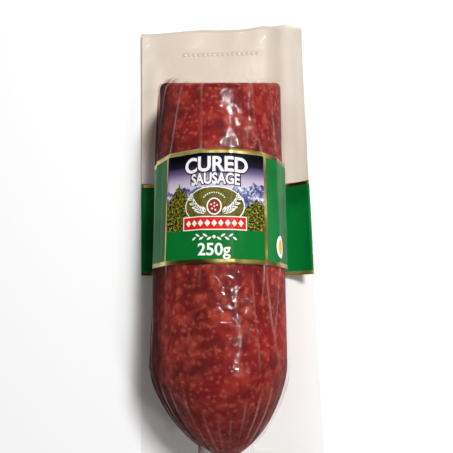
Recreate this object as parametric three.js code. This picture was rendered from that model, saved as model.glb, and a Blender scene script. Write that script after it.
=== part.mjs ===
// A cured sausage, cut on a slant at one end and domed at the other, sealed in a flat pouch.
// The pouch is two webs of film: a flat back web that the pack lies on, and a front web that is
// drawn over the sausage and sealed to the back web all round. Each web carries a printed band.
// Millimetres, +Z up. The sausage lies along Y, its cut end towards +Y, and the origin is the middle
// of the pack's footprint, on the surface that it rests on.
import * as THREE from "three";

// Sausage
const CUT_RADIUS = 24.3; // at the cut end
const SWELL = 0.6; // how much thicker it is where the dome begins
const SAUSAGE_LENGTH = 132; // along its top
const DOME_LENGTH = 33;
const DOME_POWER = 1.65; // superellipse: 2 is an ellipse, less is more conical
const CUT_EDGE = 2.5; // rounding of the cut end's rim
const CUT_LEAN = THREE.MathUtils.degToRad(25.8); // from a square cut, so that its foot reaches out

// Pouch
const POUCH_WIDTH = 75.6; // along the film, from edge to edge
const HEADER = 21.5; // flat film past the foot of the cut
const FOOT = 2.5; // flat film past the domed end
const TENT_CUT = 3; // how far the front web stands off the cut end
const TENT_DOME = 4; // how far it stands off the domed end
const POUCH_SHIFT = 3.2; // middle of the pouch, to the right of the sausage at its label
const POUCH_SKEW = THREE.MathUtils.degToRad(1.6); // the pouch against the sausage
const FILM = 0.3; // a web's thickness
const CLEARANCE = 0.3; // between two layers that touch
const TUCK = THREE.MathUtils.degToRad(50); // how far under the sausage the front web clings

// Side margins: the right one curls up, the left one hardly does
const FLAT_MARGIN = 1.6; // past the line where the front web comes down, before a curl begins
const CURL_RIGHT = 24.5; // radii
const CURL_LEFT = 130;

// Printed bands
const LABEL_HEIGHT = 40.3;
const LABEL_FROM_CUT = 24.5;
const PRINT = 0.2; // a band's thickness

// What follows from them, with y = 0 at the top of the cut and x = 0 on the sausage's axis
const BELLY_RADIUS = CUT_RADIUS + SWELL;
const BACK_BAND_LEVEL = FILM + CLEARANCE;
const SAUSAGE_LEVEL = BACK_BAND_LEVEL + PRINT + CLEARANCE;
const AXIS_HEIGHT = SAUSAGE_LEVEL + BELLY_RADIUS;
const LABEL_TOP = -LABEL_FROM_CUT;
const LABEL_BOTTOM = LABEL_TOP - LABEL_HEIGHT;
const LABEL_MIDDLE = (LABEL_TOP + LABEL_BOTTOM) / 2;
const SHOULDER = -(SAUSAGE_LENGTH - DOME_LENGTH);
const TIP = -SAUSAGE_LENGTH;
const CUT_FOOT = 2 * CUT_RADIUS * Math.tan(CUT_LEAN);
const POUCH_TOP = CUT_FOOT + TENT_CUT + HEADER;
const POUCH_BOTTOM = TIP - TENT_DOME - FOOT;

// Steps across the front web, from the left edge to the right one, and along it
const MARGIN_STEPS = 5;
const TUCK_STEPS = 4;
const WRAP_STEPS = 12; // on each side of the arch
const SAUSAGE_SIDES = 40;
const RIM_STEPS = 3;
const BODY_STEPS = 8;
const DOME_STEPS = 9;
const TENT_STEPS = 5;
const HEADER_STEPS = 3;
const LABEL_STEPS = 4;
const BLUNT_RADIUS = 9; // the dome's radius where the front web leaves it for the foot

const mix = THREE.MathUtils.lerp;
const ramp = (count, from, to) => Array.from({ length: count + 1 }, (_, i) => mix(from, to, i / count));

// Sections are laid out for a square cut, and then carried along the pack by as much as the cut leans
// at their height: by nothing up to the printed band, by all of it at the cut, and by less and less
// over the header. This is where y ends up at height z.
function carried(y, z) {
  const before = THREE.MathUtils.smoothstep(y, LABEL_TOP, 0);
  const after = THREE.MathUtils.clamp((POUCH_TOP - y) / (POUCH_TOP - TENT_CUT), 0, 1);
  return y + Math.tan(CUT_LEAN) * (AXIS_HEIGHT + CUT_RADIUS - z) * before * after;
}

// The sausage's radius between its rim and the dome.
function bodyRadius(y) {
  return mix(CUT_RADIUS, BELLY_RADIUS, THREE.MathUtils.smoothstep(-y, CUT_EDGE, -SHOULDER));
}

// The outline from the cut end's rim to the dome, as [y, radius], grown all round by `grow`.
// It stops where the dome has narrowed to lastRadius.
function outline(grow, lastRadius) {
  const points = [];
  for (const turn of ramp(RIM_STEPS, Math.PI / 2, 0)) {
    const y = -CUT_EDGE + (CUT_EDGE + grow) * Math.sin(turn);
    points.push([y, CUT_RADIUS - CUT_EDGE + (CUT_EDGE + grow) * Math.cos(turn)]);
  }
  for (const y of ramp(BODY_STEPS, -CUT_EDGE, SHOULDER).slice(1)) {
    points.push([y, bodyRadius(y) + grow]);
  }
  const domeLength = DOME_LENGTH + grow;
  const domeRadius = BELLY_RADIUS + grow;
  const other = (share) => Math.pow(1 - Math.pow(share, DOME_POWER), 1 / DOME_POWER);
  const lastTurn = Math.asin(other(lastRadius / domeRadius));
  for (const turn of ramp(DOME_STEPS, 0, lastTurn).slice(1)) {
    const along = Math.sin(turn);
    points.push([SHOULDER - domeLength * along, domeRadius * other(along)]);
  }
  return points;
}

// Left and right edges of the pouch at y, as distances along the film from the sausage's axis.
function edgesAt(y) {
  const middle = POUCH_SHIFT - Math.tan(POUCH_SKEW) * (y - LABEL_MIDDLE);
  return [middle - POUCH_WIDTH / 2, middle + POUCH_WIDTH / 2];
}

// The fillet that leads the front web off a circle round the sausage and on to the sheet touches
// both. Foot is how far out it meets the sheet.
function leadOut(radius, level) {
  const fillet = (AXIS_HEIGHT - level - radius * Math.sin(TUCK)) / (1 + Math.sin(TUCK));
  return { fillet, foot: (radius + fillet) * Math.cos(TUCK) };
}

const FLAT_HALF = leadOut(BELLY_RADIUS + CLEARANCE, SAUSAGE_LEVEL).foot + FLAT_MARGIN;

// Where the point at distance s along the film lies, on a sheet whose flat part is at height level.
// The layers of a curl share its centre.
function onSheet(s, level) {
  const past = Math.abs(s) - FLAT_HALF;
  if (past <= 0) return new THREE.Vector2(s, level);
  const curl = s > 0 ? CURL_RIGHT : CURL_LEFT;
  const turn = past / curl;
  const x = FLAT_HALF + (curl - level) * Math.sin(turn);
  return new THREE.Vector2(Math.sign(s) * x, curl - (curl - level) * Math.cos(turn));
}

// The right half of the front web's arch: from the top of the sausage, round it, and out to the sheet.
function archSide(radius, level) {
  const { fillet, foot } = leadOut(radius, level);
  const wrap = ramp(WRAP_STEPS, Math.PI / 2, -TUCK).map(
    (a) => new THREE.Vector2(radius * Math.cos(a), AXIS_HEIGHT + radius * Math.sin(a)),
  );
  const lead = ramp(TUCK_STEPS, Math.PI - TUCK, 1.5 * Math.PI).map(
    (a) => new THREE.Vector2(foot + fillet * Math.cos(a), level + fillet + fillet * Math.sin(a)),
  );
  return [...wrap, ...lead.slice(1)];
}

// A row of the front web at y. Rise is 1 where it stands over the sausage and 0 where it is flat.
function frontRow(y, radius, level, rise) {
  const [left, right] = edgesAt(carried(y, level));
  const { foot } = leadOut(radius, level);
  const rightSide = archSide(radius, level);
  const leftSide = rightSide.slice(1).map((p) => new THREE.Vector2(-p.x, p.y));
  const leftMargin = ramp(MARGIN_STEPS, left, -foot).slice(0, -1);
  const rightMargin = ramp(MARGIN_STEPS, foot, right).slice(1);
  const raised = [
    ...leftMargin.map((s) => onSheet(s, level)),
    ...leftSide.reverse(),
    ...rightSide,
    ...rightMargin.map((s) => onSheet(s, level)),
  ];
  return raised.map((p, i) => {
    const flat = onSheet(mix(left, right, i / (raised.length - 1)), level);
    const z = mix(flat.y, p.y, rise);
    return new THREE.Vector3(mix(flat.x, p.x, rise), carried(y, z), z);
  });
}

// The front web's surface that stands `grow` off the sausage and is at `level` on the sheet.
function frontSurface(grow, level) {
  const over = outline(grow, BLUNT_RADIUS).reverse();
  const [bluntY, bluntRadius] = over[0];
  const [rimY, rimRadius] = over[over.length - 1];
  const domeRun = bluntY - (TIP - TENT_DOME - grow);
  const drop = ramp(TENT_STEPS, 0, Math.PI / 2).slice(1);
  const domeTent = drop.map((a) => frontRow(bluntY - domeRun * Math.sin(a), bluntRadius, level, Math.cos(a)));
  const cutTent = drop.map((a) => frontRow(rimY + TENT_CUT * Math.sin(a), rimRadius, level, Math.cos(a)));
  const header = ramp(HEADER_STEPS, rimY + TENT_CUT, POUCH_TOP).slice(1);
  return [
    frontRow(POUCH_BOTTOM, bluntRadius, level, 0),
    ...domeTent.reverse(),
    ...over.map(([y, radius]) => frontRow(y, radius, level, 1)),
    ...cutTent,
    ...header.map((y) => frontRow(y, rimRadius, level, 0)),
  ];
}

// The surface of the front web's printed band.
function frontBandSurface(grow, level) {
  const rows = ramp(LABEL_STEPS, LABEL_BOTTOM, LABEL_TOP);
  return rows.map((y) => frontRow(y, bodyRadius(y) + grow, level, 1));
}

// A stretch of the back web's sheet.
function backSurface(fromY, toY, level) {
  return [fromY, toY].map((y) => {
    const [left, right] = edgesAt(y);
    const stops = [...ramp(MARGIN_STEPS, left, -FLAT_HALF), ...ramp(2 * MARGIN_STEPS, FLAT_HALF, right)];
    return stops.map((s) => onSheet(s, level)).map((p) => new THREE.Vector3(p.x, y, p.y));
  });
}

// A closed solid between an under and an upper surface, each a list of rows of points.
// The rows run towards +Y, and the points of a row towards +X.
function layerSolid(under, upper) {
  const rowCount = under.length;
  const rowLength = under[0].length;
  const corners = [...under.flat(), ...upper.flat()].flatMap((p) => p.toArray());
  const low = (row, column) => row * rowLength + column;
  const high = (row, column) => (rowCount + row) * rowLength + column;
  const faces = [];
  const quad = (a, b, c, d) => faces.push(a, b, c, a, c, d);
  for (let row = 1; row < rowCount; row++) {
    for (let column = 1; column < rowLength; column++) {
      const [back, left] = [row - 1, column - 1];
      quad(high(back, left), high(back, column), high(row, column), high(row, left));
      quad(low(back, left), low(row, left), low(row, column), low(back, column));
    }
  }
  const lastRow = rowCount - 1;
  const lastColumn = rowLength - 1;
  for (let column = 1; column < rowLength; column++) {
    const left = column - 1;
    quad(low(0, left), low(0, column), high(0, column), high(0, left));
    quad(low(lastRow, column), low(lastRow, left), high(lastRow, left), high(lastRow, column));
  }
  for (let row = 1; row < rowCount; row++) {
    const back = row - 1;
    quad(low(row, 0), low(back, 0), high(back, 0), high(row, 0));
    quad(low(back, lastColumn), low(row, lastColumn), high(row, lastColumn), high(back, lastColumn));
  }
  const geometry = new THREE.BufferGeometry();
  geometry.setAttribute("position", new THREE.Float32BufferAttribute(corners, 3));
  geometry.setIndex(faces);
  geometry.computeVertexNormals();
  return geometry;
}

function namedMesh(name, geometry, finish) {
  const mesh = new THREE.Mesh(geometry, new THREE.MeshStandardMaterial({ metalness: 0, ...finish }));
  mesh.name = name;
  return mesh;
}

function sausage() {
  const profile = outline(0, 0).map(([y, radius]) => new THREE.Vector2(radius, y));
  const cutFace = new THREE.Vector2(0, 0);
  const geometry = new THREE.LatheGeometry([cutFace, ...profile].reverse(), SAUSAGE_SIDES);
  geometry.translate(0, 0, AXIS_HEIGHT);
  const corners = geometry.getAttribute("position");
  for (let i = 0; i < corners.count; i++) corners.setY(i, carried(corners.getY(i), corners.getZ(i)));
  geometry.computeVertexNormals();
  return namedMesh("sausage", geometry, { color: 0x8e2a22, roughness: 0.55 });
}

function backFilm() {
  const solid = layerSolid(
    backSurface(POUCH_BOTTOM, POUCH_TOP, 0),
    backSurface(POUCH_BOTTOM, POUCH_TOP, FILM),
  );
  return namedMesh("back_film", solid, { color: 0xd9cfc0, roughness: 0.25 });
}

function backLabel() {
  const solid = layerSolid(
    backSurface(LABEL_BOTTOM, LABEL_TOP, BACK_BAND_LEVEL),
    backSurface(LABEL_BOTTOM, LABEL_TOP, BACK_BAND_LEVEL + PRINT),
  );
  return namedMesh("back_label", solid, { color: 0x0a6e2c, roughness: 0.3 });
}

function frontFilm() {
  const solid = layerSolid(
    frontSurface(CLEARANCE, SAUSAGE_LEVEL),
    frontSurface(CLEARANCE + FILM, SAUSAGE_LEVEL + FILM),
  );
  return namedMesh("front_film", solid, { color: 0xe4dace, roughness: 0.15 });
}

function frontLabel() {
  const offSausage = CLEARANCE + FILM + CLEARANCE;
  const level = SAUSAGE_LEVEL + FILM + CLEARANCE;
  const solid = layerSolid(
    frontBandSurface(offSausage, level),
    frontBandSurface(offSausage + PRINT, level + PRINT),
  );
  return namedMesh("front_label", solid, { color: 0x0b7a31, roughness: 0.3 });
}

const pack = new THREE.Group();
pack.add(sausage(), frontFilm(), backFilm(), frontLabel(), backLabel());

// The origin goes to the middle of the footprint.
const extent = new THREE.Box3().setFromObject(pack);
const middle = extent.getCenter(new THREE.Vector3());
pack.position.set(-middle.x, -middle.y, -extent.min.z);

export default pack;
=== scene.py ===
"""The looks of a cured sausage in a clear pouch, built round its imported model.

Every shape is worked out in millimetres in the sausage's own frame: x from its axis, y from the top of
its cut end, z from the surface that it lies on. to_row() turns that into the row's metres.
"""
import math

import bmesh
import bpy
import numpy as np
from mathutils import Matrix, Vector

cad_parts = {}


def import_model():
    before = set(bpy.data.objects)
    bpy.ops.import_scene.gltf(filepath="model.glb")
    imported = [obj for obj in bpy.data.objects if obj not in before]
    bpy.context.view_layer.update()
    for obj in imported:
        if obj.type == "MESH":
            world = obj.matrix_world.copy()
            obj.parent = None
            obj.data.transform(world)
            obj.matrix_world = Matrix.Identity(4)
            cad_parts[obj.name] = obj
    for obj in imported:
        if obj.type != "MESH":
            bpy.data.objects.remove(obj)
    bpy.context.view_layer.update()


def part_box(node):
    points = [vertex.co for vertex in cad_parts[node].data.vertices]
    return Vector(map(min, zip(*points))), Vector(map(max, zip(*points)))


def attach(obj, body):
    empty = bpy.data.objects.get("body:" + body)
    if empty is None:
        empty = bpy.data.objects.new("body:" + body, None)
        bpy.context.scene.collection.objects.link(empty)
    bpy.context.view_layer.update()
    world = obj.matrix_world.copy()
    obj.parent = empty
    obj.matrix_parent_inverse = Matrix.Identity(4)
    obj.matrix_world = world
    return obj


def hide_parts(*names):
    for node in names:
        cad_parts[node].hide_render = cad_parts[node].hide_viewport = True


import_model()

# ---- sizes, in millimetres
METRES = 0.001


def box_mm(node):
    low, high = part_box(node)
    return np.array(low) / METRES, np.array(high) / METRES


SAUSAGE_LOW, SAUSAGE_HIGH = box_mm("sausage")
LABEL_LOW, LABEL_HIGH = box_mm("front_label")
POUCH_LOW, POUCH_HIGH = box_mm("back_film")

SAUSAGE_LENGTH = 132.0  # along its top
CUT_RADIUS = 24.3
CUT_EDGE = 2.5  # rounding of the cut end's rim
CUT_LEAN = math.tan(math.radians(25.8))  # slope of the cut
DOME_LENGTH = 33.0
DOME_POWER = 1.57  # superellipse: 2 is an ellipse, less is more conical
DOME_BEND = 2.6  # how far the tip leans towards +X
BLUNT_RADIUS = 9.0  # the dome's radius where the front web leaves it
TENT_CUT = 3.0  # how far the front web stands off the cut end
TENT_DOME = 4.0  # and off the tip
TUCK = math.radians(50)  # how far under the sausage the front web clings
POUCH_WIDTH = 75.6  # along the film
POUCH_SHIFT = 3.2  # middle of the pouch from the sausage's, at the label
POUCH_SKEW = math.tan(math.radians(1.6))  # the pouch against the sausage
FLAT_HALF = 19.8  # half of the sheet's flat stretch, before its margins curl
CURL_RIGHT = 24.5  # radii of the curls
CURL_LEFT = 130.0

AXIS_X = (SAUSAGE_LOW[0] + SAUSAGE_HIGH[0]) / 2
BELLY_RADIUS = (SAUSAGE_HIGH[0] - SAUSAGE_LOW[0]) / 2
AXIS_Z = SAUSAGE_LOW[2] + BELLY_RADIUS
CUT_TOP = SAUSAGE_LOW[1] + SAUSAGE_LENGTH
LABEL_TOP = LABEL_HIGH[1] - CUT_TOP
LABEL_BOTTOM = LABEL_LOW[1] - CUT_TOP
LABEL_HEIGHT = LABEL_TOP - LABEL_BOTTOM
LABEL_MIDDLE = (LABEL_TOP + LABEL_BOTTOM) / 2
POUCH_TOP = POUCH_HIGH[1] - CUT_TOP
POUCH_BOTTOM = POUCH_LOW[1] - CUT_TOP
SHOULDER = DOME_LENGTH - SAUSAGE_LENGTH
TIP = -SAUSAGE_LENGTH

FILM = 0.12  # thickness of a web
PRINT = 0.05  # thickness of a printed band
BACK_LEVEL = 0.02  # underside of the back web where it lies flat
BACK_LABEL_LEVEL = 0.2  # and of its band
FRONT_LEVEL = 0.55  # top of the front web where it lies flat
SKIN_GAP = 0.22  # from the sausage to the top of the front web, where the web clings
LABEL_GAP = 0.06  # from the front web to its band

rng = np.random.default_rng(7)


def to_row(points):
    """Points in the sausage's frame, in millimetres, as points in the row frame, in metres."""
    return (np.asarray(points, float) + np.array([AXIS_X, CUT_TOP, 0.0])) * METRES


def smooth(value, start, end):
    """From 0 to 1, smoothly, as value goes from start to end."""
    share = np.clip((value - start) / (end - start), 0, 1)
    return share * share * (3 - 2 * share)


# ---- smooth random relief
LATTICE_LAYERS = 8
LATTICE_SIDE = 64
LATTICE = rng.random((LATTICE_LAYERS, LATTICE_SIDE, LATTICE_SIDE))


def relief(u, v, layer):
    """Smooth noise from -1 to 1 over u and v, whose bumps are one unit apart. What calls add to u or v
    picks another stretch of it."""
    u, v = np.asarray(u, float), np.asarray(v, float)
    u0, v0 = np.floor(u).astype(int), np.floor(v).astype(int)
    du, dv = u - u0, v - v0
    du, dv = du * du * (3 - 2 * du), dv * dv * (3 - 2 * dv)
    left, right = u0 % LATTICE_SIDE, (u0 + 1) % LATTICE_SIDE
    near, far = v0 % LATTICE_SIDE, (v0 + 1) % LATTICE_SIDE
    grid = LATTICE[layer]
    low = grid[left, near] * (1 - du) + grid[right, near] * du
    high = grid[left, far] * (1 - du) + grid[right, far] * du
    return 2 * (low * (1 - dv) + high * dv) - 1


# ---- the sausage's outline
def carried(y, z):
    """Where y of a square-cut layout ends up at height z, because the cut leans."""
    before = smooth(y, LABEL_TOP, 0)
    after = np.clip((POUCH_TOP - y) / (POUCH_TOP - TENT_CUT), 0, 1)
    return y + CUT_LEAN * (AXIS_Z + CUT_RADIUS - z) * before * after


def bend(y):
    """How far the dome's end leans towards +X."""
    return DOME_BEND * np.clip((SHOULDER - y) / DOME_LENGTH, 0, 1) ** 1.5


def body_radius(y):
    """The sausage's radius between its rim and the dome."""
    return CUT_RADIUS + (BELLY_RADIUS - CUT_RADIUS) * smooth(-y, CUT_EDGE, -SHOULDER)


def dome_profile(share):
    """Radius of the dome, as a share of the belly's, at a share of its length. It is its own inverse."""
    return (1 - share**DOME_POWER) ** (1 / DOME_POWER)


def dome_steps(count, last_radius):
    """Rows down the dome, closer together where it turns faster: y and radius of each."""
    last = math.asin(dome_profile(last_radius / BELLY_RADIUS))
    share = np.sin(np.linspace(0, last, count + 1)[1:])
    return SHOULDER - DOME_LENGTH * share, BELLY_RADIUS * dome_profile(share)


def rim_steps(count):
    """Rows round the rim of the cut, from its face to the body: y and radius of each."""
    turn = np.linspace(math.pi / 2, 0, count + 1)
    return -CUT_EDGE + CUT_EDGE * np.sin(turn), CUT_RADIUS - CUT_EDGE + CUT_EDGE * np.cos(turn)


# ---- meshes
def add_to_scene(name, data):
    """A new object in the scene."""
    piece = bpy.data.objects.new(name, data)
    bpy.context.scene.collection.objects.link(piece)
    return piece


def new_object(name, vertices, faces):
    """A smooth piece of the still body, from points in the sausage's frame."""
    mesh = bpy.data.meshes.new(name)
    mesh.from_pydata(to_row(vertices).tolist(), [], faces)
    mesh.validate()
    mesh.polygons.foreach_set("use_smooth", [True] * len(mesh.polygons))
    piece = add_to_scene(name, mesh)
    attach(piece, "root")
    return piece


def add_value(piece, name, values):
    """Gives each point of the piece a value that its material can read."""
    attribute = piece.data.attributes.new(name, "FLOAT", "POINT")
    attribute.data.foreach_set("value", np.asarray(values, np.float32).ravel())


def add_layer_value(piece, name, values):
    """The same on both grids of a layer."""
    add_value(piece, name, np.tile(values.ravel(), 2))


def face_list(*corners):
    """Faces from arrays of vertex numbers, one array for each corner."""
    return np.stack([numbers.ravel() for numbers in corners], axis=1).tolist()


def layer_faces(rows, columns):
    """Faces of a closed layer: its upper grid comes first, then its lower one."""
    upper, lower = np.arange(2 * rows * columns).reshape(2, rows, columns)
    faces = face_list(upper[:-1, :-1], upper[:-1, 1:], upper[1:, 1:], upper[1:, :-1])
    faces += face_list(lower[:-1, :-1], lower[1:, :-1], lower[1:, 1:], lower[:-1, 1:])
    faces += face_list(lower[0, :-1], lower[0, 1:], upper[0, 1:], upper[0, :-1])
    faces += face_list(lower[-1, 1:], lower[-1, :-1], upper[-1, :-1], upper[-1, 1:])
    faces += face_list(lower[1:, 0], lower[:-1, 0], upper[:-1, 0], upper[1:, 0])
    faces += face_list(lower[:-1, -1], lower[1:, -1], upper[1:, -1], upper[:-1, -1])
    return faces


def grid_normals(grid):
    """Unit normals of a grid of points whose rows run towards +Y and columns towards +X."""
    across = np.gradient(grid, axis=1)
    along = np.gradient(grid, axis=0)
    normals = np.cross(across, along)
    return normals / np.maximum(np.linalg.norm(normals, axis=2, keepdims=True), 1e-9)


def layer_piece(name, grid, thickness):
    """A closed film whose upper surface is the grid."""
    under = grid - grid_normals(grid) * thickness
    rows, columns = grid.shape[:2]
    vertices = np.concatenate([grid.reshape(-1, 3), under.reshape(-1, 3)])
    return new_object(name, vertices, layer_faces(rows, columns))


# ---- the pouch's flat sheet
def edges_at(y):
    """Left and right edges of the pouch at y, as distances along the film from the sausage's axis."""
    middle = POUCH_SHIFT - POUCH_SKEW * (y - LABEL_MIDDLE)
    return middle - POUCH_WIDTH / 2, middle + POUCH_WIDTH / 2


def sheet_wave(x, y):
    """How far the sheet lifts off the surface: slack waves in the margins and the header."""
    out = smooth(np.abs(x - 1), 24, 34)
    header = smooth(y, 26, 40)
    slack = 0.5 + 0.5 * relief(x / 17 + 3, y / 23, 0)
    ripple = 0.5 + 0.5 * relief(x / 6, y / 9 + 5, 1)
    corner = smooth(x, 22, 36) * smooth(y, 38, 49)
    return np.maximum(out, header) * (0.9 * slack + 0.25 * ripple) + 1.6 * corner * header


def on_sheet(s, y, level):
    """Point at distance s along the sheet at y: its x and z. The layers of a curl share its centre."""
    s, y = np.broadcast_arrays(np.asarray(s, float), np.asarray(y, float))
    past = np.maximum(np.abs(s) - FLAT_HALF, 0)
    curl = np.where(s > 0, CURL_RIGHT, CURL_LEFT)
    turn = past / curl
    x = np.sign(s) * (np.minimum(np.abs(s), FLAT_HALF) + (curl - level) * np.sin(turn))
    z = curl - (curl - level) * np.cos(turn)
    return x, z + sheet_wave(x, y)


# ---- the front web
# Ridges where the web stands off the sausage. Stations run from the cut end to the dome: y, degrees from
# the top of the sausage (left is negative), height.
RIDGES = [
    [(0, -15, 0.5), (-24, -15, 0.7), (-45, -14, 0.8), (-66, -14, 0.5), (-72, -15, 0.0)],
    [(0, 28, 0.5), (-15, 30, 0.6), (-24, 36, 0.8), (-66, 37, 0.8), (-75, 36, 0.3), (-84, 36, 0.0)],
    [(0, -33, 0.5), (-24, -44, 0.9), (-66, -46, 0.9), (-78, -47, 0.4), (-88, -48, 0.0)],
    [(-20, 9, 0.0), (-24, 9, 0.4), (-64, 11, 0.3), (-68, 12, 0.1), (-78, 13, 0.25), (-88, 17, 0.35),
     (-104, 13, 0.0)],
    [(0, 47, 0.6), (-24, 56, 0.5), (-66, 58, 0.5), (-90, 47, 0.5), (-104, 60, 0.8), (-112, 66, 0.4)],
    [(0, 66, 0.7), (-24, 78, 0.8), (-66, 80, 0.6), (-80, 76, 0.2), (-102, 80, 0.8), (-118, 84, 0.3)],
    [(0, -52, 0.8), (-12, -60, 1.0), (-24, -70, 0.6), (-64, -74, 0.7), (-84, -66, 1.0), (-104, -68, 1.0)],
    [(0, -64, 0.9), (-10, -72, 1.1), (-22, -84, 0.9), (-66, -96, 0.7), (-100, -92, 1.0), (-116, -90, 0.4)],
    [(-4, -78, 0.6), (-18, -96, 1.0), (-26, -104, 0.3)],
    [(-60, 40, 0.0), (-70, 40, 0.5), (-84, 44, 0.6), (-96, 52, 0.5), (-104, 62, 0.9)],
    [(-66, 27, 0.0), (-76, 27, 0.3), (-92, 31, 0.45), (-102, 33, 0.0)],
]
# Gathers that run down the dome: degrees from the top, height, the y where they start.
GATHERS = [
    (-101, 0.9, -98), (-88, 1.0, -97), (-77, 1.1, -97), (-66, 1.0, -98), (-56, 0.9, -100),
    (-45, 0.6, -103), (-31, 0.45, -104), (-17, 0.35, -108), (-4, 0.3, -112), (9, 0.35, -109),
    (22, 0.4, -106), (35, 0.5, -104), (47, 0.7, -101), (58, 0.9, -98), (69, 1.0, -97),
    (80, 1.1, -97), (92, 0.9, -98), (104, 0.8, -99),
]

RIDGE_BLUNT = 0.012  # radians over which a ridge's top is rounded
CREASE_WIDTH = 0.32


def tent_profile(off, height, radius):
    """How far a taut web stands off a circle at an angle `off` from a ridge of that height."""
    reach = np.arccos(radius / (radius + np.maximum(height, 1e-6)))
    off = np.sqrt(off**2 + RIDGE_BLUNT**2)
    return np.where(off < reach, radius / np.cos(np.clip(reach - off, 0, 1.2)) - radius, 0)


def crease_line(off, height, radius):
    """A thin line along a ridge, from 0 to 1."""
    return np.exp(-((off * radius / CREASE_WIDTH) ** 2)) * np.clip(height / 0.8, 0, 1)


def web_lift(angle, y, radius):
    """How far the front web stands off the sausage, at an angle from its top and at y, and how sharply
    it is creased there."""
    lift = np.zeros_like(angle)
    crease = np.zeros_like(angle)
    for stations in RIDGES:
        at = np.array(stations, float)[::-1]
        ridge = np.radians(np.interp(y, at[:, 0], at[:, 1]))
        height = np.interp(y, at[:, 0], at[:, 2], left=0, right=at[-1, 2])
        lift = np.maximum(lift, tent_profile(np.abs(angle - ridge), height, radius))
        crease = np.maximum(crease, crease_line(angle - ridge, height, radius))
    for turn, height, start in GATHERS:
        grown = height * smooth(-y, -start, -start + 9) * (0.35 + 0.65 * radius / BELLY_RADIUS)
        bent = np.radians(turn) * (1 - 0.10 * smooth(-y, -start, -TIP))
        lift = np.maximum(lift, tent_profile(np.abs(angle - bent), grown, radius))
        crease = np.maximum(crease, crease_line(angle - bent, grown, radius))
    shoulder = np.exp(-(((y - SHOULDER + 1.5) / 1.6) ** 2)) * smooth(np.abs(angle), 0.85, 1.2)
    lift = np.maximum(lift, 0.7 * shoulder)
    arc = angle * radius
    crinkle = relief(arc / 3.4 + 9, y / 5.0, 2) + 0.6 * relief(arc / 1.7, y / 2.6 + 4, 3)
    patch = 0.35 + 0.65 * smooth(relief(arc / 15 + 2, y / 19 + 7, 4), -0.3, 0.5)
    streaks = relief(arc / 2.1 + 5, y / 26, 5)
    clinging = 1 - smooth(np.abs(angle), 1.75, 2.2)
    rough = 0.13 * patch * (crinkle + 1.6) / 1.6 + 0.06 * (streaks + 1)
    broken = 0.25 + 0.75 * smooth(relief(arc / 5, y / 9 + 3, 6), -0.4, 0.5)
    return (lift + rough) * clinging, crease * broken * clinging


# Steps across the web: in each margin, in the fillet that leads up from it, and round the sausage.
MARGIN_STEPS = 16
LEAD_STEPS = 8
WRAP_STEPS = 250
# Radians from the top: the span of painted shade on the sausage's left, and where pleats and shade fade
# out.
PAINTED_SHADE_SPAN = (0.48, 1.12)
PLEATS_FADE = (1.8, 2.2)


def web_row(y, radius, rise):
    """One row of the front web: its points, and at each how far it stands off, how it is creased, and how
    much it dims what is behind, in its pleats and as painted shade over the sausage's left. Rise is 1 where
    it stands over the sausage and 0 where it is flat."""
    level = FRONT_LEVEL
    cling = radius + SKIN_GAP
    left, right = edges_at(carried(y, level))
    wrap = np.linspace(-math.pi / 2 - TUCK, math.pi / 2 + TUCK, WRAP_STEPS + 1)
    lift, crease = web_lift(wrap, y, radius)
    around = cling + lift
    fillet = (AXIS_Z - level - cling * math.sin(TUCK)) / (1 + math.sin(TUCK))
    foot = (cling + fillet) * math.cos(TUCK)
    turn = np.linspace(math.pi - TUCK, 1.5 * math.pi, LEAD_STEPS + 1)[1:]
    lead_x = foot + fillet * np.cos(turn)
    lead_z = level + fillet + fillet * np.sin(turn)
    margin = np.linspace(0, 1, MARGIN_STEPS + 1)
    left_x, left_z = on_sheet(left + (-foot - left) * margin[:-1], y, level)
    right_x, right_z = on_sheet(foot + (right - foot) * margin[1:], y, level)
    x = np.concatenate([left_x, -lead_x[::-1], around * np.sin(wrap), lead_x, right_x])
    z = np.concatenate([left_z, lead_z[::-1], AXIS_Z + around * np.cos(wrap), lead_z, right_z])
    x = x + bend(y) * smooth(z, level, AXIS_Z)
    outside = np.zeros(MARGIN_STEPS + LEAD_STEPS)
    off = np.concatenate([outside, lift, outside])
    # painted shade: the web dims what is behind in its pleats, and over the sausage's left below the label
    # even where it lies flat
    left_shade = smooth(-wrap, *PAINTED_SHADE_SPAN)
    below_label = smooth(-y, 15, 60)
    pleat_and_shade_dim = np.maximum(lift * (0.4 + 0.6 * left_shade), 0.66 * left_shade * below_label)
    pleat_and_shade_dim = pleat_and_shade_dim * (1 - smooth(np.abs(wrap), *PLEATS_FADE))
    pleat_and_shade = np.concatenate([outside, pleat_and_shade_dim, outside])
    crease = np.concatenate([outside, crease, outside])
    flat_x, flat_z = on_sheet(np.linspace(left, right, len(x)), carried(y, level), level)
    x = flat_x + (x - flat_x) * rise
    z = flat_z + (z - flat_z) * rise
    return np.stack([x, carried(y, z), z], axis=1), off * rise, crease * rise, pleat_and_shade * rise**3


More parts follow.
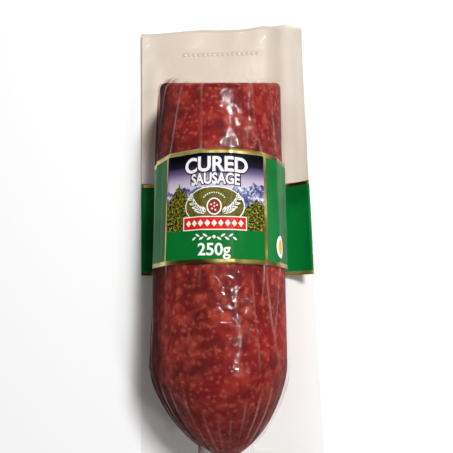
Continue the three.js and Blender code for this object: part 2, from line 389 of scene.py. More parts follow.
def web_layout():
    """Rows of the front web from its foot to its header: y, radius of the sausage there, rise."""
    dome_y, dome_r = dome_steps(32, BLUNT_RADIUS)
    rim_y, rim_r = rim_steps(5)
    body_y = np.linspace(SHOULDER, -CUT_EDGE, 76)
    blunt_y, blunt_r = dome_y[-1], dome_r[-1]
    run = blunt_y - (TIP - TENT_DOME - SKIN_GAP)
    turns = np.linspace(0, math.pi / 2, 13)[1:]
    rows = [(y, blunt_r, 0.0) for y in np.linspace(POUCH_BOTTOM, blunt_y - run, 5)[:-1]]
    rows += [(blunt_y - run * math.sin(a), blunt_r, math.cos(a)) for a in turns[::-1]]
    rows += list(zip(dome_y[::-1], dome_r[::-1], np.ones(len(dome_y))))
    rows += [(y, body_radius(y), 1.0) for y in body_y]
    rows += list(zip(rim_y[::-1][1:], rim_r[::-1][1:], np.ones(len(rim_y) - 1)))
    rim_end_y, rim_end_r, _ = rows[-1]
    rows += [(rim_end_y + SKIN_GAP + TENT_CUT * math.sin(a), rim_end_r, math.cos(a)) for a in turns]
    start = rows[-1][0]
    rows += [(y, rim_end_r, 0.0) for y in np.linspace(start, POUCH_TOP, 22)[1:]]
    return rows


# The header's upper edge: x, and how far it reaches past a straight edge there.
HEADER_EDGE = [(-36.5, -0.6), (-8.4, 2.2), (8.3, 2.5), (13.0, 3.0), (19.5, 4.2), (29.7, 3.4), (37.0, -1.8)]
HEADER_BOWED = 16.0  # how far down the header the bow reaches


def bow_header(points):
    """Bows the header's upper edge, and the film below it in proportion."""
    share = smooth(points[..., 1], POUCH_TOP - HEADER_BOWED, POUCH_TOP)
    points[..., 1] += np.interp(points[..., 0], *np.transpose(HEADER_EDGE)) * share
    return points


def front_web():
    """The clear web over the sausage."""
    rows = [web_row(y, radius, rise) for y, radius, rise in web_layout()]
    points, offs, creases, pleats_and_shade = (np.array(part) for part in zip(*rows))
    piece = layer_piece("pouch_front_film", bow_header(points), FILM)
    add_layer_value(piece, "stand_off", offs)
    add_layer_value(piece, "crease", creases)
    add_layer_value(piece, "pleat_and_shade", pleats_and_shade)
    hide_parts("front_film")
    return piece


SHEET_COLUMNS = 150


def sheet_grid(bottom, top, row_count, level):
    """A stretch of the flat sheet, as rows from its lower edge to its upper one."""
    rows = []
    for y in np.linspace(bottom, top, row_count):
        left, right = edges_at(y)
        x, z = on_sheet(np.linspace(left, right, SHEET_COLUMNS), y, level)
        rows.append(np.stack([x, np.full_like(x, y), z], axis=1))
    return np.array(rows)


def back_web():
    """The web that the pack lies on."""
    grid = bow_header(sheet_grid(POUCH_BOTTOM, POUCH_TOP, 120, BACK_LEVEL + FILM))
    piece = layer_piece("pouch_back_film", grid, FILM)
    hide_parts("back_film")
    return piece


def back_band():
    """The printed band on the back web."""
    grid = sheet_grid(LABEL_BOTTOM, LABEL_TOP, 40, BACK_LABEL_LEVEL + PRINT)
    piece = layer_piece("pouch_back_band", grid, PRINT)
    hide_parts("back_label")
    return piece


# ---- the front band and its print
BAND_ROWS = 56


def band_grid():
    """The upper surface of the front band, as rows from its lower edge to its upper one."""
    ys = np.linspace(LABEL_BOTTOM, LABEL_TOP, BAND_ROWS)
    grid = np.array([web_row(y, float(body_radius(y)), 1.0)[0] for y in ys])
    return grid + grid_normals(grid) * (LABEL_GAP + PRINT)


BAND = band_grid()
BAND_NORMALS = grid_normals(BAND)
MIDDLE_ROW = BAND[BAND_ROWS // 2]
STEPS_ALONG = np.linalg.norm(np.diff(MIDDLE_ROW, axis=0), axis=1)
BAND_U = np.concatenate([[0], np.cumsum(STEPS_ALONG)])
TOP_COLUMN = BAND.shape[1] // 2
BAND_U -= BAND_U[TOP_COLUMN]
BAND_V = np.linspace(0, LABEL_HEIGHT, BAND_ROWS)
PANEL_MIDDLE = -1.7  # middle of the printed panel from the top of the sausage, along the band
PANEL_HALF = 19.3
INK_STEP = 0.035  # from one ink to the next
LONGEST_EDGE = 1.1  # in a print, so that it follows the band
CAPITALS = 0.69  # height of capitals in a text of size 1


def on_band(u, v, above):
    """The point at (u, v) on the band, in millimetres from the panel's middle and its lower edge."""
    column = np.interp(u + PANEL_MIDDLE, BAND_U, np.arange(len(BAND_U)))
    row = np.interp(v, BAND_V, np.arange(BAND_ROWS))
    c0 = np.clip(np.floor(column).astype(int), 0, BAND.shape[1] - 2)
    r0 = np.clip(np.floor(row).astype(int), 0, BAND_ROWS - 2)
    c, r = (column - c0)[:, None], (row - r0)[:, None]
    surface = BAND + BAND_NORMALS * above
    low = surface[r0, c0] * (1 - c) + surface[r0, c0 + 1] * c
    high = surface[r0 + 1, c0] * (1 - c) + surface[r0 + 1, c0 + 1] * c
    return low * (1 - r) + high * r


def front_band():
    """The printed band over the front web. Its material reads where on the band a point is."""
    piece = layer_piece("pouch_front_band", BAND, PRINT)
    u = np.tile(BAND_U - PANEL_MIDDLE, (BAND_ROWS, 1))
    v = np.tile(BAND_V[:, None], (1, BAND.shape[1]))
    add_layer_value(piece, "band_u", u)
    add_layer_value(piece, "band_v", v)
    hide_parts("front_label")
    return piece


def print_from_bmesh(name, flat, layer, material):
    """Lays a flat drawing, in band millimetres, on the band as the ink of a layer, counted from 1."""
    bmesh.ops.triangulate(flat, faces=flat.faces[:])
    for _ in range(5):
        long_edges = [edge for edge in flat.edges if edge.calc_length() > LONGEST_EDGE]
        if not long_edges:
            break
        bmesh.ops.subdivide_edges(flat, edges=long_edges, cuts=1)
        bmesh.ops.triangulate(flat, faces=flat.faces[:])
    flat.normal_update()
    for face in flat.faces:
        if face.normal.z < 0:
            face.normal_flip()
    corners = np.array([vertex.co for vertex in flat.verts])
    faces = [[vertex.index for vertex in face.verts] for face in flat.faces]
    flat.free()
    points = on_band(corners[:, 0], corners[:, 1], layer * INK_STEP)
    piece = new_object(name, points, faces)
    piece.data.materials.append(material)
    return piece


def print_text(name, text, centre, width, height, layer, material, arch=0.0, thicken=0.0):
    """A word laid on the band, fitted to a width and a height of capitals."""
    curve = bpy.data.curves.new(name, "FONT")
    curve.body = text
    curve.align_x = "CENTER"
    curve.offset = thicken
    curve.resolution_u = 6
    writer = add_to_scene(name, curve)
    bpy.context.view_layer.update()
    mesh = bpy.data.meshes.new_from_object(writer)
    bpy.data.objects.remove(writer)
    bpy.data.curves.remove(curve)
    flat = bmesh.new()
    flat.from_mesh(mesh)
    bpy.data.meshes.remove(mesh)
    xs = np.array([vertex.co.x for vertex in flat.verts])
    middle, half = (xs.max() + xs.min()) / 2, (xs.max() - xs.min()) / 2
    across = width / 2 / half
    up = height / CAPITALS
    for vertex in flat.verts:
        x = (vertex.co.x - middle) * across
        y = vertex.co.y * up - arch * (x / (width / 2)) ** 2
        vertex.co = (centre[0] + x, centre[1] + y, 0)
    return print_from_bmesh(name, flat, layer, material)


def ellipse_points(centre, half_width, half_height, count=48):
    """An ellipse's outline. Four points make it a lozenge."""
    turn = np.linspace(0, 2 * math.pi, count, endpoint=False)
    return np.stack([centre[0] + half_width * np.cos(turn), centre[1] + half_height * np.sin(turn)], 1)


def box_points(centre, half_width, half_height):
    """A rectangle's outline."""
    x, y = centre
    return [(x - half_width, y - half_height), (x + half_width, y - half_height),
            (x + half_width, y + half_height), (x - half_width, y + half_height)]


def leaf_points(root, turn, length, width):
    """A pointed leaf that grows from its root at an angle."""
    share = np.linspace(0, 1, 9)
    side = width / 2 * np.sin(math.pi * share) ** 0.8
    along = np.concatenate([share * length, share[::-1][1:-1] * length])
    across = np.concatenate([side, -side[::-1][1:-1]])
    x = root[0] + along * math.cos(turn) - across * math.sin(turn)
    y = root[1] + along * math.sin(turn) + across * math.cos(turn)
    return np.stack([x, y], 1)


def print_shapes(name, outlines, layer, material):
    """Filled outlines laid on the band as one print."""
    flat = bmesh.new()
    for points in outlines:
        corners = [flat.verts.new((x, y, 0)) for x, y in points]
        flat.faces.new(corners)
    return print_from_bmesh(name, flat, layer, material)


# ---- material helpers
def srgb(*levels):
    """The colour that shaders take for a red, a green and a blue level from 0 to 255."""
    shares = [level / 255 for level in levels]
    linear = [share / 12.92 if share <= 0.04045 else ((share + 0.055) / 1.055) ** 2.4 for share in shares]
    return (*linear, 1.0)


class Nodes:
    """Short ways to add nodes to one material."""

    def __init__(self, name):
        self.material = bpy.data.materials.new(name)
        self.material.use_nodes = True
        self.tree = self.material.node_tree
        self.tree.nodes.clear()
        self.output = self.tree.nodes.new("ShaderNodeOutputMaterial")

    def add(self, kind, **values):
        node = self.tree.nodes.new(kind)
        for key, value in values.items():
            setattr(node, key, value)
        return node

    def link(self, source, socket):
        self.tree.links.new(source, socket)

    def put(self, value, socket):
        """Links a socket's output, or sets a plain value."""
        if isinstance(value, bpy.types.NodeSocket):
            self.link(value, socket)
        else:
            socket.default_value = value

    def math(self, operation, first, second=0.0, third=0.0, clamp=False):
        node = self.add("ShaderNodeMath", operation=operation, use_clamp=clamp)
        for value, socket in zip((first, second, third), node.inputs):
            self.put(value, socket)
        return node.outputs[0]

    def value(self, name):
        """A value that add_value() gave the piece's points."""
        return self.add("ShaderNodeAttribute", attribute_name=name).outputs["Fac"]

    def step(self, value, start, end, low=0.0, high=1.0):
        """From low to high, smoothly, as value goes from start to end."""
        node = self.add("ShaderNodeMapRange", interpolation_type="SMOOTHSTEP")
        for item, socket in zip((value, start, end, low, high), node.inputs):
            self.put(item, socket)
        return node.outputs[0]

    def mix(self, share, first, second, blend="MIX"):
        node = self.add("ShaderNodeMix", data_type="RGBA", blend_type=blend, clamp_factor=True)
        self.put(share, node.inputs["Factor"])
        self.put(first, node.inputs[6])
        self.put(second, node.inputs[7])
        return node.outputs[2]

    def ramp(self, value, stops):
        node = self.add("ShaderNodeValToRGB")
        ramp = node.color_ramp
        while len(ramp.elements) < len(stops):
            ramp.elements.new(0.5)
        for element, (place, colour) in zip(ramp.elements, stops):
            element.position = place
            element.color = colour
        self.put(value, node.inputs[0])
        return node.outputs[0]

    def place(self, scale=(1, 1, 1), shift=(0, 0, 0)):
        """Object coordinates in millimetres, scaled and shifted."""
        coordinates = self.add("ShaderNodeTexCoord").outputs["Object"]
        mapping = self.add("ShaderNodeMapping")
        self.link(coordinates, mapping.inputs["Vector"])
        mapping.inputs["Scale"].default_value = [value / METRES for value in scale]
        mapping.inputs["Location"].default_value = shift
        return mapping.outputs[0]

    def split(self, vector):
        """X and Y of a vector."""
        node = self.add("ShaderNodeSeparateXYZ")
        self.link(vector, node.inputs[0])
        return node.outputs["X"], node.outputs["Y"]

    def join(self, x, y=0.0):
        """A vector from its X and Y."""
        node = self.add("ShaderNodeCombineXYZ")
        self.put(x, node.inputs[0])
        self.put(y, node.inputs[1])
        return node.outputs[0]

    def blend(self, share, first, second):
        """The first shader, and the second by its share."""
        node = self.add("ShaderNodeMixShader")
        self.put(share, node.inputs[0])
        self.link(first, node.inputs[1])
        self.link(second, node.inputs[2])
        return node.outputs[0]

    def noise(self, vector, scale, detail=3.0, roughness=0.5, distortion=0.0):
        node = self.add("ShaderNodeTexNoise")
        self.put(vector, node.inputs["Vector"])
        node.inputs["Scale"].default_value = scale
        node.inputs["Detail"].default_value = detail
        node.inputs["Roughness"].default_value = roughness
        node.inputs["Distortion"].default_value = distortion
        return node.outputs["Fac"]

    def wander(self, vector, scale, reach):
        """Coordinates shifted at random, so that what is laid over them loses its regular shape."""
        noise = self.add("ShaderNodeTexNoise")
        self.link(vector, noise.inputs["Vector"])
        noise.inputs["Scale"].default_value = scale
        moved = self.add("ShaderNodeVectorMath", operation="MULTIPLY_ADD")
        self.link(noise.outputs["Color"], moved.inputs[0])
        moved.inputs[1].default_value = (reach, reach, reach)
        self.link(vector, moved.inputs[2])
        return moved.outputs[0]

    def cells(self, vector, scale, smoothness=0.0):
        """Distance from the middle of the nearest cell, whose borders are smoothed or sharp."""
        feature = "SMOOTH_F1" if smoothness else "F1"
        node = self.add("ShaderNodeTexVoronoi", feature=feature)
        self.put(vector, node.inputs["Vector"])
        node.inputs["Scale"].default_value = scale
        if smoothness:
            node.inputs["Smoothness"].default_value = smoothness
        return node.outputs["Distance"]

    def bump(self, height, distance, strength, normal=None):
        """A normal bumped by a height, where a height of 1 is `distance` millimetres."""
        node = self.add("ShaderNodeBump")
        node.inputs["Distance"].default_value = distance * METRES
        node.inputs["Strength"].default_value = strength
        self.put(height, node.inputs["Height"])
        if normal is not None:
            self.link(normal, node.inputs["Normal"])
        return node.outputs[0]

    def plain(self, colour, roughness, **inputs):
        """A Principled shader. Inputs are socket names with _ for a space."""
        node = self.add("ShaderNodeBsdfPrincipled")
        self.put(colour, node.inputs["Base Color"])
        self.put(roughness, node.inputs["Roughness"])
        for key, value in inputs.items():
            self.put(value, node.inputs[key.replace("_", " ")])
        return node.outputs[0]

    def finish(self, shader):
        self.link(shader, self.output.inputs["Surface"])
        return self.material


# ---- the sausage
def sausage_rows():
    """Rings from the tip to the middle of the cut face: y and radius."""
    dome_y, dome_r = dome_steps(46, 0)
    rim_y, rim_r = rim_steps(8)
    body_y = np.linspace(SHOULDER, -CUT_EDGE, 120)
    rings = list(zip(dome_y[::-1], dome_r[::-1]))
    rings += [(y, body_radius(y)) for y in body_y]
    rings += list(zip(rim_y[::-1][1:], rim_r[::-1][1:]))
    face = rings[-1][1]
    rings += [(0.0, face * share) for share in np.linspace(1, 0, 26)[1:]]
    return rings


SAUSAGE_SIDES = 200
LUMPS = 0.07  # height of the lumps in the skin
FACE_DENTS = 0.16  # depth of the dents in the cut face
FACE_FROM = -0.1  # y above which a ring looks like the cut face


def sausage():
    """The meat: a skin from the tip to the rim, closed by the cut face."""
    rings = sausage_rows()
    turn = np.linspace(0, 2 * math.pi, SAUSAGE_SIDES, endpoint=False)
    vertices = []
    for y, radius in rings[1:-1]:
        arc = turn * BELLY_RADIUS
        lumps = relief(arc / 4.2 + 30, y / 4.6, 6) + 0.5 * relief(arc / 1.9 + 12, y / 2.0, 7)
        around = radius + LUMPS * lumps * min(1, radius / 8)
        x = around * np.sin(turn) + bend(y)
        z = AXIS_Z + around * np.cos(turn)
        on_face = y == 0.0
        dent = FACE_DENTS * relief(x / 2.6, z / 2.6, 5) if on_face else 0.0
        along = carried(np.full_like(x, y), z) + dent - FACE_DENTS * on_face
        vertices.append(np.stack([x, along, z], 1))
    tip = [DOME_BEND, rings[0][0], AXIS_Z]
    face_middle = [0, float(carried(0.0, AXIS_Z)) - FACE_DENTS, AXIS_Z]
    points = np.concatenate([*vertices, [tip], [face_middle]])
    ring = np.arange(len(vertices) * SAUSAGE_SIDES).reshape(-1, SAUSAGE_SIDES)
    after = np.roll(ring, -1, axis=1)
    tip_index = np.full(SAUSAGE_SIDES, len(points) - 2)
    faces = face_list(ring[:-1], after[:-1], after[1:], ring[1:])
    faces += face_list(after[0], ring[0], tip_index)
    faces += face_list(ring[-1], after[-1], tip_index + 1)
    piece = new_object("cured_sausage", points, faces)
    add_value(piece, "cut_face", np.concatenate(
        [np.full(SAUSAGE_SIDES, float(y > FACE_FROM)) for y, _ in rings[1:-1]] + [[0.0, 1.0]]))
    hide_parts("sausage")
    return piece


def meat_material():
    """Lean red mince with soft pale fat under the skin, crisp on the cut face, and painted shade towards
    the tip.
    """
    nodes = Nodes("cured_meat")
    place = nodes.place()
    broad = nodes.noise(place, 0.055, 2.0, 0.5)
    lean = nodes.ramp(broad, [(0.34, srgb(86, 7, 12)), (0.5, srgb(116, 14, 17)), (0.66, srgb(138, 21, 22))])
    grain = nodes.noise(place, 0.60, 2.0, 0.5)
    lean = nodes.mix(nodes.step(grain, 0.35, 0.80, 0.0, 0.5), lean, srgb(148, 34, 31))
    moved = nodes.wander(place, 0.40, 2.6)
    cluster = nodes.noise(nodes.place(shift=(5, 3, 0)), 0.08, 2.0, 0.5)
    large = nodes.step(nodes.cells(moved, 0.30, 1.0), 0.60, 0.0)
    pale = nodes.math("MULTIPLY", large, nodes.step(cluster, 0.36, 0.62, 0.3, 1.0))
    skin = nodes.mix(nodes.math("MULTIPLY", pale, 0.85), lean, srgb(178, 70, 52))
    finer = nodes.wander(nodes.place(shift=(3, 1, 2)), 0.5, 1.6)
    small = nodes.step(nodes.cells(finer, 0.52, 0.8), 0.48, 0.02)
    skin = nodes.mix(nodes.math("MULTIPLY", small, 0.55), skin, srgb(198, 100, 78))
    gap = nodes.noise(nodes.place(shift=(2, 0, 7)), 0.12, 2.0, 0.5)
    skin = nodes.mix(nodes.step(gap, 0.46, 0.72, 0.0, 0.7), skin, srgb(74, 4, 13))
    # painted shade: the closed end is darker, because it faces away from the light
    _, along = nodes.split(place)
    tip_shade = nodes.step(along, CUT_TOP + SHOULDER + 12, CUT_TOP + TIP + 6, 0.0, 0.5)
    skin = nodes.mix(tip_shade, skin, srgb(80, 4, 14))
    # the cut face shows the mince itself
    mince = nodes.mix(nodes.noise(place, 0.5, 3.0), srgb(104, 18, 20), srgb(150, 40, 36))
    lumps = nodes.cells(moved, 0.30)
    shift = nodes.noise(place, 0.22, 2.0)
    fat = nodes.step(nodes.math("ADD", lumps, nodes.math("MULTIPLY", shift, 0.7)), 0.76, 0.68)
    mince = nodes.mix(fat, mince, srgb(228, 188, 168))
    colour = nodes.mix(nodes.value("cut_face"), skin, mince)
    height = nodes.math("ADD", grain, nodes.math("MULTIPLY", pale, 0.4))
    return nodes.finish(nodes.plain(
        colour, nodes.step(grain, 0.3, 0.7, 0.42, 0.6), Normal=nodes.bump(height, 0.10, 0.5),
        Specular_IOR_Level=0.05, Subsurface_Weight=0.2, Subsurface_Radius=(0.0024, 0.0007, 0.0005)))


# ---- film
HATCH_PITCH = 1.5  # of the crossed lines pressed into the seals
SEAL_DEPTH = 8.0  # of the seal along the header's upper edge
SEAL_LEFT = 29.25  # where the seal along the right edge starts, in the row's frame
EMBOSSED_Y = 38.0  # of the row of bumps
EMBOSSED_TILT = 0.03
EMBOSSED_PITCH = 2.25
EMBOSSED_HALF = 18.0
CREAM_OVERLAP = 3.0  # how far the cream print runs under the band


def crosshatch(nodes, x, y):
    """A pattern of crossed diagonal lines, from -1 to 1."""
    turns = 2 * math.pi / HATCH_PITCH
    rising = nodes.math("SINE", nodes.math("MULTIPLY", nodes.math("ADD", x, y), turns))
    falling = nodes.math("SINE", nodes.math("MULTIPLY", nodes.math("SUBTRACT", x, y), turns))
    return nodes.math("MAXIMUM", rising, falling)


def embossed_row(nodes, x, y):
    """A row of round bumps pressed into the header."""
    x = nodes.math("SUBTRACT", x, AXIS_X)
    y = nodes.math("SUBTRACT", y, nodes.math("MULTIPLY_ADD", x, EMBOSSED_TILT, EMBOSSED_Y + CUT_TOP))
    across = nodes.math("SUBTRACT", nodes.math("FLOORED_MODULO", x, EMBOSSED_PITCH), EMBOSSED_PITCH / 2)
    apart = nodes.math("ADD", nodes.math("MULTIPLY", across, across), nodes.math("MULTIPLY", y, y))
    in_row = nodes.math("LESS_THAN", nodes.math("ABSOLUTE", x), EMBOSSED_HALF)
    return nodes.math("MULTIPLY", nodes.step(apart, 0.9, 0.1), in_row)


def film_normal(nodes, place):
    """The film's relief: scratches, puckers where it clings, hatched seals and the embossed row."""
    x, y = nodes.split(place)
    scratches = nodes.noise(nodes.place((1.0, 0.12, 1.0)), 0.9, 3.0, 0.6)
    puckers = nodes.noise(place, 0.34, 3.0, 0.5, 0.4)
    puckered = nodes.step(nodes.noise(nodes.place(shift=(3, 1, 2)), 0.075, 2.0, 0.5), 0.44, 0.58, 0.5, 1.0)
    clinging = nodes.step(nodes.value("stand_off"), 0.0, 0.05, 0.12, 1.0)
    dimples = nodes.math("MULTIPLY", nodes.math("MULTIPLY", puckers, puckered), clinging)
    seal_line = POUCH_TOP + CUT_TOP - SEAL_DEPTH
    sealed = nodes.math("MAXIMUM", nodes.step(y, seal_line - 1, seal_line + 1),
                    nodes.step(x, SEAL_LEFT - 0.75, SEAL_LEFT + 0.75))
    hatch = nodes.math("MULTIPLY", crosshatch(nodes, x, y), sealed)
    normal = nodes.bump(scratches, 0.05, 0.35, nodes.bump(dimples, 0.85, 0.85))
    normal = nodes.bump(hatch, 0.045, 0.6, normal)
    return nodes.bump(embossed_row(nodes, x, y), 0.35, 0.9, normal)


def clear_film(nodes, normal, outside):
    """See-through film with a sheen, which fades where it is seen edge on. It dims what is behind with
    painted shade, in its pleats and over the sausage's left.
    """
    gloss = nodes.add("ShaderNodeBsdfGlossy")
    gloss.inputs["Roughness"].default_value = 0.07
    nodes.link(normal, gloss.inputs["Normal"])
    clear = nodes.add("ShaderNodeBsdfTransparent")
    pleat_and_shade = nodes.step(nodes.value("pleat_and_shade"), 0.22, 0.90)
    # painted shade: the see-through colour darkens in pleats and over the sausage's left
    nodes.link(nodes.mix(pleat_and_shade, (0.997, 0.995, 0.992, 1), (0.66, 0.55, 0.55, 1)), clear.inputs["Color"])
    facing = nodes.add("ShaderNodeLayerWeight").outputs["Facing"]
    mirror = nodes.math("MULTIPLY", nodes.step(facing, 0.2, 0.6, 0.038, 0.005), outside)
    return nodes.blend(mirror, clear.outputs[0], gloss.outputs[0])


def milky_creases(nodes, normal):
    """The milky look of film that stands off the meat or is creased: its share and its shader."""
    haze = nodes.step(nodes.value("stand_off"), 0.4, 1.6, 0.002, 0.02)
    share = nodes.math("ADD", haze, nodes.math("MULTIPLY", nodes.value("crease"), 0.5), clamp=True)
    return share, nodes.plain(srgb(214, 176, 164), 0.3, Normal=normal)


def cream_print(nodes, normal, place):
    """The back web's cream print, with painted light on its right margin and on its left margin beside the
    sausage, where the lamps leave them darker: its share and its shader."""
    x, y = nodes.split(place)
    cream_line = LABEL_TOP - CREAM_OVERLAP + CUT_TOP
    share = nodes.step(y, cream_line - 1, cream_line + 1, 0.01, 0.93)
    tone = nodes.mix(nodes.noise(place, 0.05, 2.0, 0.5), srgb(222, 208, 192), srgb(213, 200, 184))
    # painted light: the right margin, which curls away from the lamp, is made lighter
    tone = nodes.mix(nodes.step(x, 24, 30), tone, srgb(250, 240, 226))
    # painted light: the left margin beside the sausage, in its shadow, is made near white
    painted_light_rows = nodes.step(y, CUT_TOP - 2, CUT_TOP - 20)
    left_painted_light = nodes.math("MULTIPLY", nodes.step(x, -24, -30), painted_light_rows)
    tone = nodes.mix(left_painted_light, tone, srgb(252, 252, 252))
    return share, nodes.plain(tone, 0.35, Normal=normal)


def film_material(name, printed):
    """Clear glossy film. It is lit on its outer side alone, because it is a closed layer."""
    nodes = Nodes(name)
    place = nodes.place()
    normal = film_normal(nodes, place)
    outside = nodes.math("SUBTRACT", 1.0, nodes.add("ShaderNodeNewGeometry").outputs["Backfacing"])
    clear = clear_film(nodes, normal, outside)
    share, solid = cream_print(nodes, normal, place) if printed else milky_creases(nodes, normal)
    return nodes.finish(nodes.blend(nodes.math("MULTIPLY", share, outside), clear, solid))


# ---- print
GREEN = srgb(6, 108, 42)
STRIP_TOP = 11.5  # top of the green strip under the view
GOLD_EDGE = 1.55  # width of the gold along the band's edges


def gold_shader(nodes, place):
    """Gold foil, with darker stretches."""
    tone = nodes.noise(place, 0.09, 2.0, 0.5)
    colour = nodes.ramp(tone, [
        (0.36, srgb(74, 58, 18)), (0.5, srgb(158, 136, 66)), (0.62, srgb(214, 196, 122))])
    return nodes.plain(colour, 0.3, Metallic=0.7)


def sky(nodes, v):
    """Pale at the horizon and black at the top."""
    return nodes.ramp(nodes.math("DIVIDE", v, LABEL_HEIGHT), [
        (0.62, srgb(212, 206, 218)), (0.72, srgb(182, 168, 188)), (0.79, srgb(104, 88, 126)),
        (0.85, srgb(26, 18, 40)), (0.92, srgb(3, 2, 5))])


def mountains(nodes, u, v, behind):
    """A rugged range in front of the sky."""
    peaks = nodes.noise(nodes.join(u), 0.10, 4.0, 0.6)
    ridge = nodes.math("MULTIPLY_ADD", peaks, 16.0, 18.5)
    crags = nodes.noise(nodes.join(u, v), 0.42, 5.0, 0.65, 0.6)
    rock = nodes.ramp(crags, [
        (0.36, srgb(40, 42, 76)), (0.5, srgb(104, 104, 150)), (0.6, srgb(222, 222, 238))])
    return nodes.mix(nodes.step(nodes.math("SUBTRACT", ridge, v), -0.25, 0.25), behind, rock)


def tree(nodes, u, v, middle, top, slope):
    """How far below a tree's outline a point is."""
    off = nodes.math("ABSOLUTE", nodes.math("SUBTRACT", u, middle))
    return nodes.math("SUBTRACT", nodes.math("SUBTRACT", top, nodes.math("MULTIPLY", off, slope)), v)


def trees(nodes, u, v, behind):
    """A tree at each side of the panel, in front of the mountains."""
    flat = nodes.join(u, v)
    edge = nodes.math("MULTIPLY", nodes.noise(flat, 0.7, 3.0, 0.6), 5.0)
    both = nodes.math("MAXIMUM", tree(nodes, u, v, -13.6, 30.5, 1.25), tree(nodes, u, v, 15.4, 25.5, 0.8))
    leaves = nodes.noise(flat, 1.2, 5.0, 0.85)
    foliage = nodes.ramp(leaves, [
        (0.46, srgb(9, 11, 5)), (0.52, srgb(82, 82, 22)), (0.6, srgb(176, 168, 62))])
    return nodes.mix(nodes.step(nodes.math("SUBTRACT", both, edge), -0.2, 0.5), behind, foliage)


def front_print_material():
    """The band: gold edges, green sides, and a panel with a mountain view over a green strip."""
    nodes = Nodes("front_print")
    place = nodes.place()
    u, v = nodes.value("band_u"), nodes.value("band_v")
    view = trees(nodes, u, v, mountains(nodes, u, v, sky(nodes, v)))
    view = nodes.mix(nodes.step(v, STRIP_TOP - 0.1, STRIP_TOP + 0.1), GREEN, view)
    uneven = nodes.step(nodes.noise(place, 0.05, 2.0), 0.3, 0.7)
    sides = nodes.mix(uneven, srgb(5, 94, 38), srgb(10, 124, 54))
    off_middle = nodes.math("ABSOLUTE", u)
    colour = nodes.mix(nodes.step(off_middle, PANEL_HALF - 0.1, PANEL_HALF + 0.1), view, sides)
    half_bar = nodes.step(u, -1, 1, 0.4, 0.72)  # the bar on the right is wider
    off_edge = nodes.math("ABSOLUTE", nodes.math("SUBTRACT", off_middle, PANEL_HALF))
    bar = nodes.math("LESS_THAN", off_edge, half_bar)
    low = nodes.math("LESS_THAN", v, GOLD_EDGE)
    high = nodes.math("GREATER_THAN", v, LABEL_HEIGHT - GOLD_EDGE)
    gold = nodes.math("MAXIMUM", bar, nodes.math("MAXIMUM", low, high))
    fine = nodes.bump(nodes.noise(place, 1.2, 2.0), 0.02, 0.5)
    ink = nodes.plain(colour, 0.36, Normal=fine, Specular_IOR_Level=0.07)
    return nodes.finish(nodes.blend(gold, ink, gold_shader(nodes, place)))


def back_print_material():
    """The back band: green between gold edges, with painted shade that darkens it towards the left."""
    nodes = Nodes("back_print")
    place = nodes.place()
    x, y = nodes.split(place)
    off = nodes.math("ABSOLUTE", nodes.math("SUBTRACT", y, LABEL_MIDDLE + CUT_TOP))
    gold = nodes.math("GREATER_THAN", off, LABEL_HEIGHT / 2 - GOLD_EDGE)
    # painted shade: darker towards the left, where the sausage's shadow falls on the wing
    tone = nodes.mix(nodes.step(x, -30, 10), srgb(1, 17, 8), srgb(10, 110, 42))
    uneven = nodes.step(nodes.noise(place, 0.08, 3.0), 0.35, 0.65)
    tone = nodes.mix(uneven, tone, srgb(8, 106, 46), "DARKEN")
    fine = nodes.bump(nodes.noise(place, 1.0, 2.0), 0.03, 0.5)
    ink = nodes.plain(tone, 0.35, Normal=fine, Specular_IOR_Level=0.1)
    return nodes.finish(nodes.blend(gold, ink, gold_shader(nodes, place)))


def ink_material(name, colour, other=None):
    """One ink, faintly uneven as print is: its second tone is a darker one unless it is given."""
    nodes = Nodes(name)
    place = nodes.place()
    second = other or tuple(0.86 * value for value in colour[:3]) + (1.0,)
    tone = nodes.mix(nodes.step(nodes.noise(place, 1.3, 3.0), 0.4, 0.7), colour, second)
    fine = nodes.bump(nodes.noise(place, 3.0, 2.0), 0.01, 0.5)
    return nodes.finish(nodes.plain(tone, 0.34, Specular_IOR_Level=0.07, Normal=fine))


# ---- what is printed on the panel
def printed_words(white, halo):
    """Generic words with a dark edge, and the weight."""
    for name, text, centre, width, height, arch in (
        ("title_upper", "CURED", (0.5, 32.2), 23.0, 5.1, 0.5),
        ("title_lower", "SAUSAGE", (0.3, 27.7), 17.4, 3.7, 0.35),
    ):
        print_text(name + "_halo", text, centre, width + 0.9, height, 1, halo, arch=arch, thicken=0.10)
        print_text(name, text, centre, width, height, 2, white, arch=arch, thicken=0.03)
    print_text("net_weight", "250g", (0, 2.9), 11.2, 4.0, 1, white, thicken=0.02)


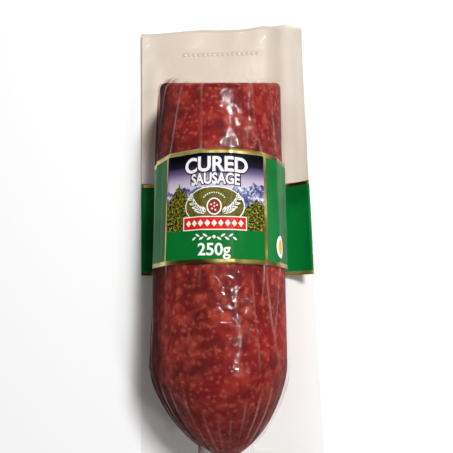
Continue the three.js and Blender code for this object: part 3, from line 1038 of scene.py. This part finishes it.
def printed_emblem(white, olive, red, slice_ink):
    """An oval with two sprigs and a slice of sausage, over a plain red ribbon."""
    oval = (0.0, 19.8)
    disc = (0.0, 19.6)
    ribbon = (0.0, 13.8)
    print_shapes("emblem_rim", [ellipse_points(oval, 10.8, 6.9)], 1, white)
    print_shapes("emblem_field", [ellipse_points(oval, 10.4, 6.55)], 2, olive)
    leaves, veins = [], []
    for side in (-1, 1):
        for k in range(6):
            root = (side * (2.9 + 0.95 * k), 17.3 + 0.2 * k * k)
            for lean in (1.15, 0.15):
                turn = lean if side > 0 else math.pi - lean
                leaves.append(leaf_points(root, turn, 2.5, 0.95))
                veins.append(leaf_points(root, turn, 1.7, 0.32))
    print_shapes("emblem_sprigs", leaves, 3, white)
    print_shapes("emblem_sprig_veins", veins, 4, olive)
    print_shapes("emblem_slice_rim", [ellipse_points(disc, 2.6, 3.0)], 5, white)
    print_shapes("emblem_slice", [ellipse_points(disc, 2.15, 2.55)], 6, slice_ink)
    specks = [ellipse_points((0.95 * math.cos(a) * r, disc[1] + 1.2 * math.sin(a) * r), 0.28, 0.3, 12)
              for a, r in ((0.3, 1.1), (1.5, 0.9), (2.7, 1.2), (3.9, 1.0), (5.1, 1.15), (0.0, 0.05))]
    print_shapes("emblem_slice_specks", specks, 7, white)
    dots = [ellipse_points((4.6 * math.cos(a), disc[1] + 4.9 * math.sin(a)), 0.24, 0.26, 10)
            for a in np.linspace(0.7, math.pi - 0.7, 11)]
    print_shapes("emblem_dots", dots, 3, white)
    print_shapes("ribbon_rim", [box_points(ribbon, 11.4, 2.4)], 5, white)
    print_shapes("ribbon", [box_points(ribbon, 11.05, 2.05)], 6, red)
    lozenges = [ellipse_points((x, ribbon[1]), 0.95, 1.2, 4) for x in np.linspace(-9.2, 9.2, 9)]
    print_shapes("ribbon_lozenges", lozenges, 7, white)


def printed_flourish(white):
    """A row of small leaves on the green strip."""
    height = 9.1
    leaves = []
    for side in (-1, 1):
        for k in range(5):
            root = (side * (0.9 + 1.35 * k), height)
            turn = 0.6 if k % 2 else -0.6
            leaves.append(leaf_points(root, turn if side > 0 else math.pi - turn, 1.9, 0.7))
    leaves.append(ellipse_points((0, height), 0.55, 0.55, 16))
    print_shapes("flourish", leaves, 1, white)


def printed_seal(white, yellow):
    """A plain oval seal on the right side."""
    middle = (28.0, 7.2)
    print_shapes("seal", [ellipse_points(middle, 2.6, 4.1)], 1, white)
    print_shapes("seal_middle", [ellipse_points(middle, 1.5, 2.6)], 2, yellow)


# ---- build
for piece, material in (
    (sausage(), meat_material()),
    (front_web(), film_material("front_web", printed=False)),
    (back_web(), film_material("back_web", printed=True)),
    (front_band(), front_print_material()),
    (back_band(), back_print_material()),
):
    piece.data.materials.append(material)

white_ink = ink_material("white_ink", srgb(244, 243, 238))
printed_words(white_ink, ink_material("halo_ink", srgb(34, 18, 62)))
printed_emblem(white_ink, ink_material("olive_ink", srgb(104, 98, 34), srgb(70, 66, 20)),
               ink_material("red_ink", srgb(214, 34, 16)), ink_material("slice_ink", srgb(142, 46, 40)))
printed_flourish(white_ink)
printed_seal(white_ink, ink_material("yellow_ink", srgb(236, 178, 44)))

# ---- stage, light and camera
CAMERA_POINT = to_row([2.5, -47.8, AXIS_Z])  # that the camera turns about
CAMERA_DISTANCE = 0.2  # in metres
CAMERA_TILT = math.radians(10)
LAMP_POINT = np.array([0, 0, 0.02])  # that the lamps look at
LAMP_DISTANCE = 0.8


def floor():
    """A plain pale floor just under the pack, in metres."""
    half = 1.5
    level = -0.0002
    mesh = bpy.data.meshes.new("floor")
    corners = [(-half, -half), (half, -half), (half, half), (-half, half)]
    mesh.from_pydata([(x, y, level) for x, y in corners], [], [(0, 1, 2, 3)])
    piece = add_to_scene("floor", mesh)
    nodes = Nodes("floor")
    mesh.materials.append(nodes.finish(nodes.plain((0.93, 0.93, 0.93, 1), 0.8)))


def lamp(name, power, size, direction):
    """A square lamp that looks at the sausage from a direction."""
    light = bpy.data.lights.new(name, "AREA")
    light.energy = power
    light.size = size
    piece = add_to_scene(name, light)
    away = np.array(direction, float)
    away = away / np.linalg.norm(away)
    piece.location = away * LAMP_DISTANCE + LAMP_POINT
    piece.rotation_euler = Vector(away).to_track_quat("Z", "Y").to_euler()


def world(strength):
    """Even white light from all round."""
    surroundings = bpy.data.worlds.new("world")
    bpy.context.scene.world = surroundings
    surroundings.use_nodes = True
    background = surroundings.node_tree.nodes["Background"]
    background.inputs["Color"].default_value = (1, 1, 1, 1)
    background.inputs["Strength"].default_value = strength


def camera():
    """A camera that looks down on the pack, tilted a little towards its header."""
    data = bpy.data.cameras.new("camera")
    data.lens = 41.0
    data.sensor_width = 36.0
    data.clip_start = 0.01
    piece = add_to_scene("camera", data)
    away = np.array([0, -math.sin(CAMERA_TILT), math.cos(CAMERA_TILT)])
    piece.location = CAMERA_POINT + CAMERA_DISTANCE * away
    piece.rotation_euler = (CAMERA_TILT, 0, 0)
    bpy.context.scene.camera = piece


floor()
world(strength=0.20)
lamp("key", power=6.3, size=0.15, direction=(0.30, 0.31, 0.92))
lamp("second", power=0.7, size=0.07, direction=(0.46, -0.20, 0.9))
camera()
bpy.context.scene.view_settings.view_transform = "Standard"
bpy.context.scene.cycles.transparent_max_bounces = 32  # fewer turn the film's folds black
